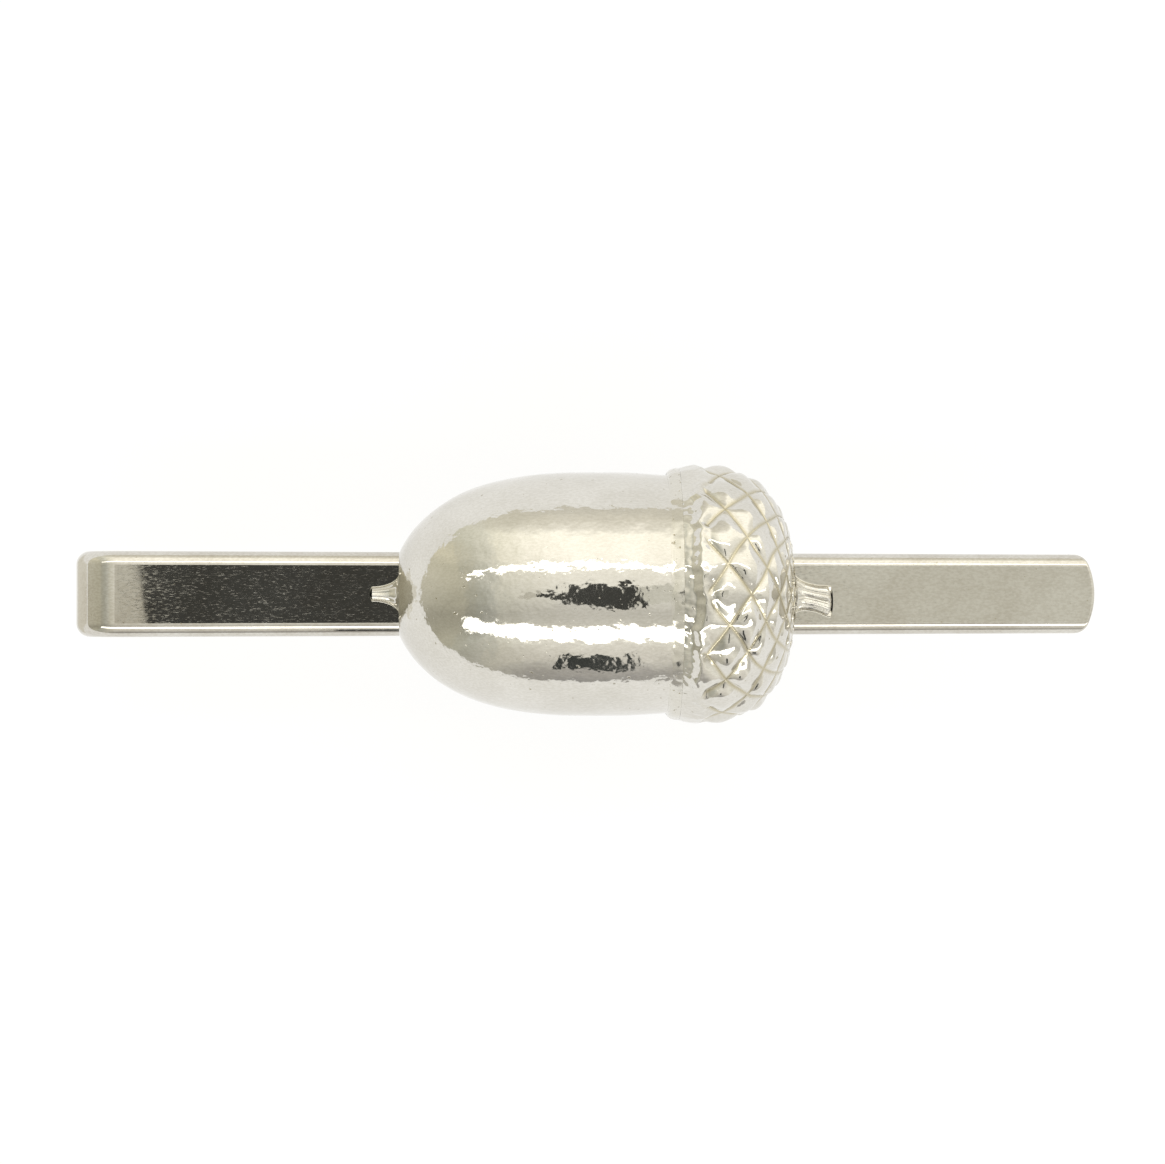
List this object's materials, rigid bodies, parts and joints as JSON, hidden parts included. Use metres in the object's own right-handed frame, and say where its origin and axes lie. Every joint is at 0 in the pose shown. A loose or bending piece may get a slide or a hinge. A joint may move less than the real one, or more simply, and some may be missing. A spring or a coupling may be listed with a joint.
{
  "type": "tie slide",
  "caption": "Folded spring strip that slides over a tie and a shirt front, with a hollow half acorn soldered across its front bar.",
  "frame": {"origin": "below the middle of the slide, level with the underside of the fold", "axes": "+X from the fold to the open end, +Y across the strip, +Z from the back leaf to the crown of the acorn"},
  "size_m": [0.051, 0.0132, 0.0111],
  "materials": {
    "plated_strip": "spring brass strip, polished, with a warm silver-coloured plating",
    "plated_casting": "cast brass, polished, with a warm silver-coloured plating and small casting pits",
    "plated_solder": "hard solder under the same warm silver-coloured plating"
  },
  "bodies": {
    "front": {"front_bar": "plated_strip", "spring_fold": "plated_strip", "acorn_nut": "plated_casting", "acorn_cup": "plated_casting", "seam_solder": "plated_solder", "nose_solder": "plated_solder", "stem_solder": "plated_solder"},
    "leaf": {"back_leaf": "plated_strip"}
  },
  "joints": [
    {"name": "leaf_flex", "type": "hinge", "parent": "front", "child": "leaf", "pos_m": [-0.0233, 0, 0.0022], "axis": [0, 1, 0], "range_deg": [0, 6], "stiffness_Nm_per_rad": 1.1, "springref_deg": -1.72, "deforming": ["spring_fold"]}
  ]
}
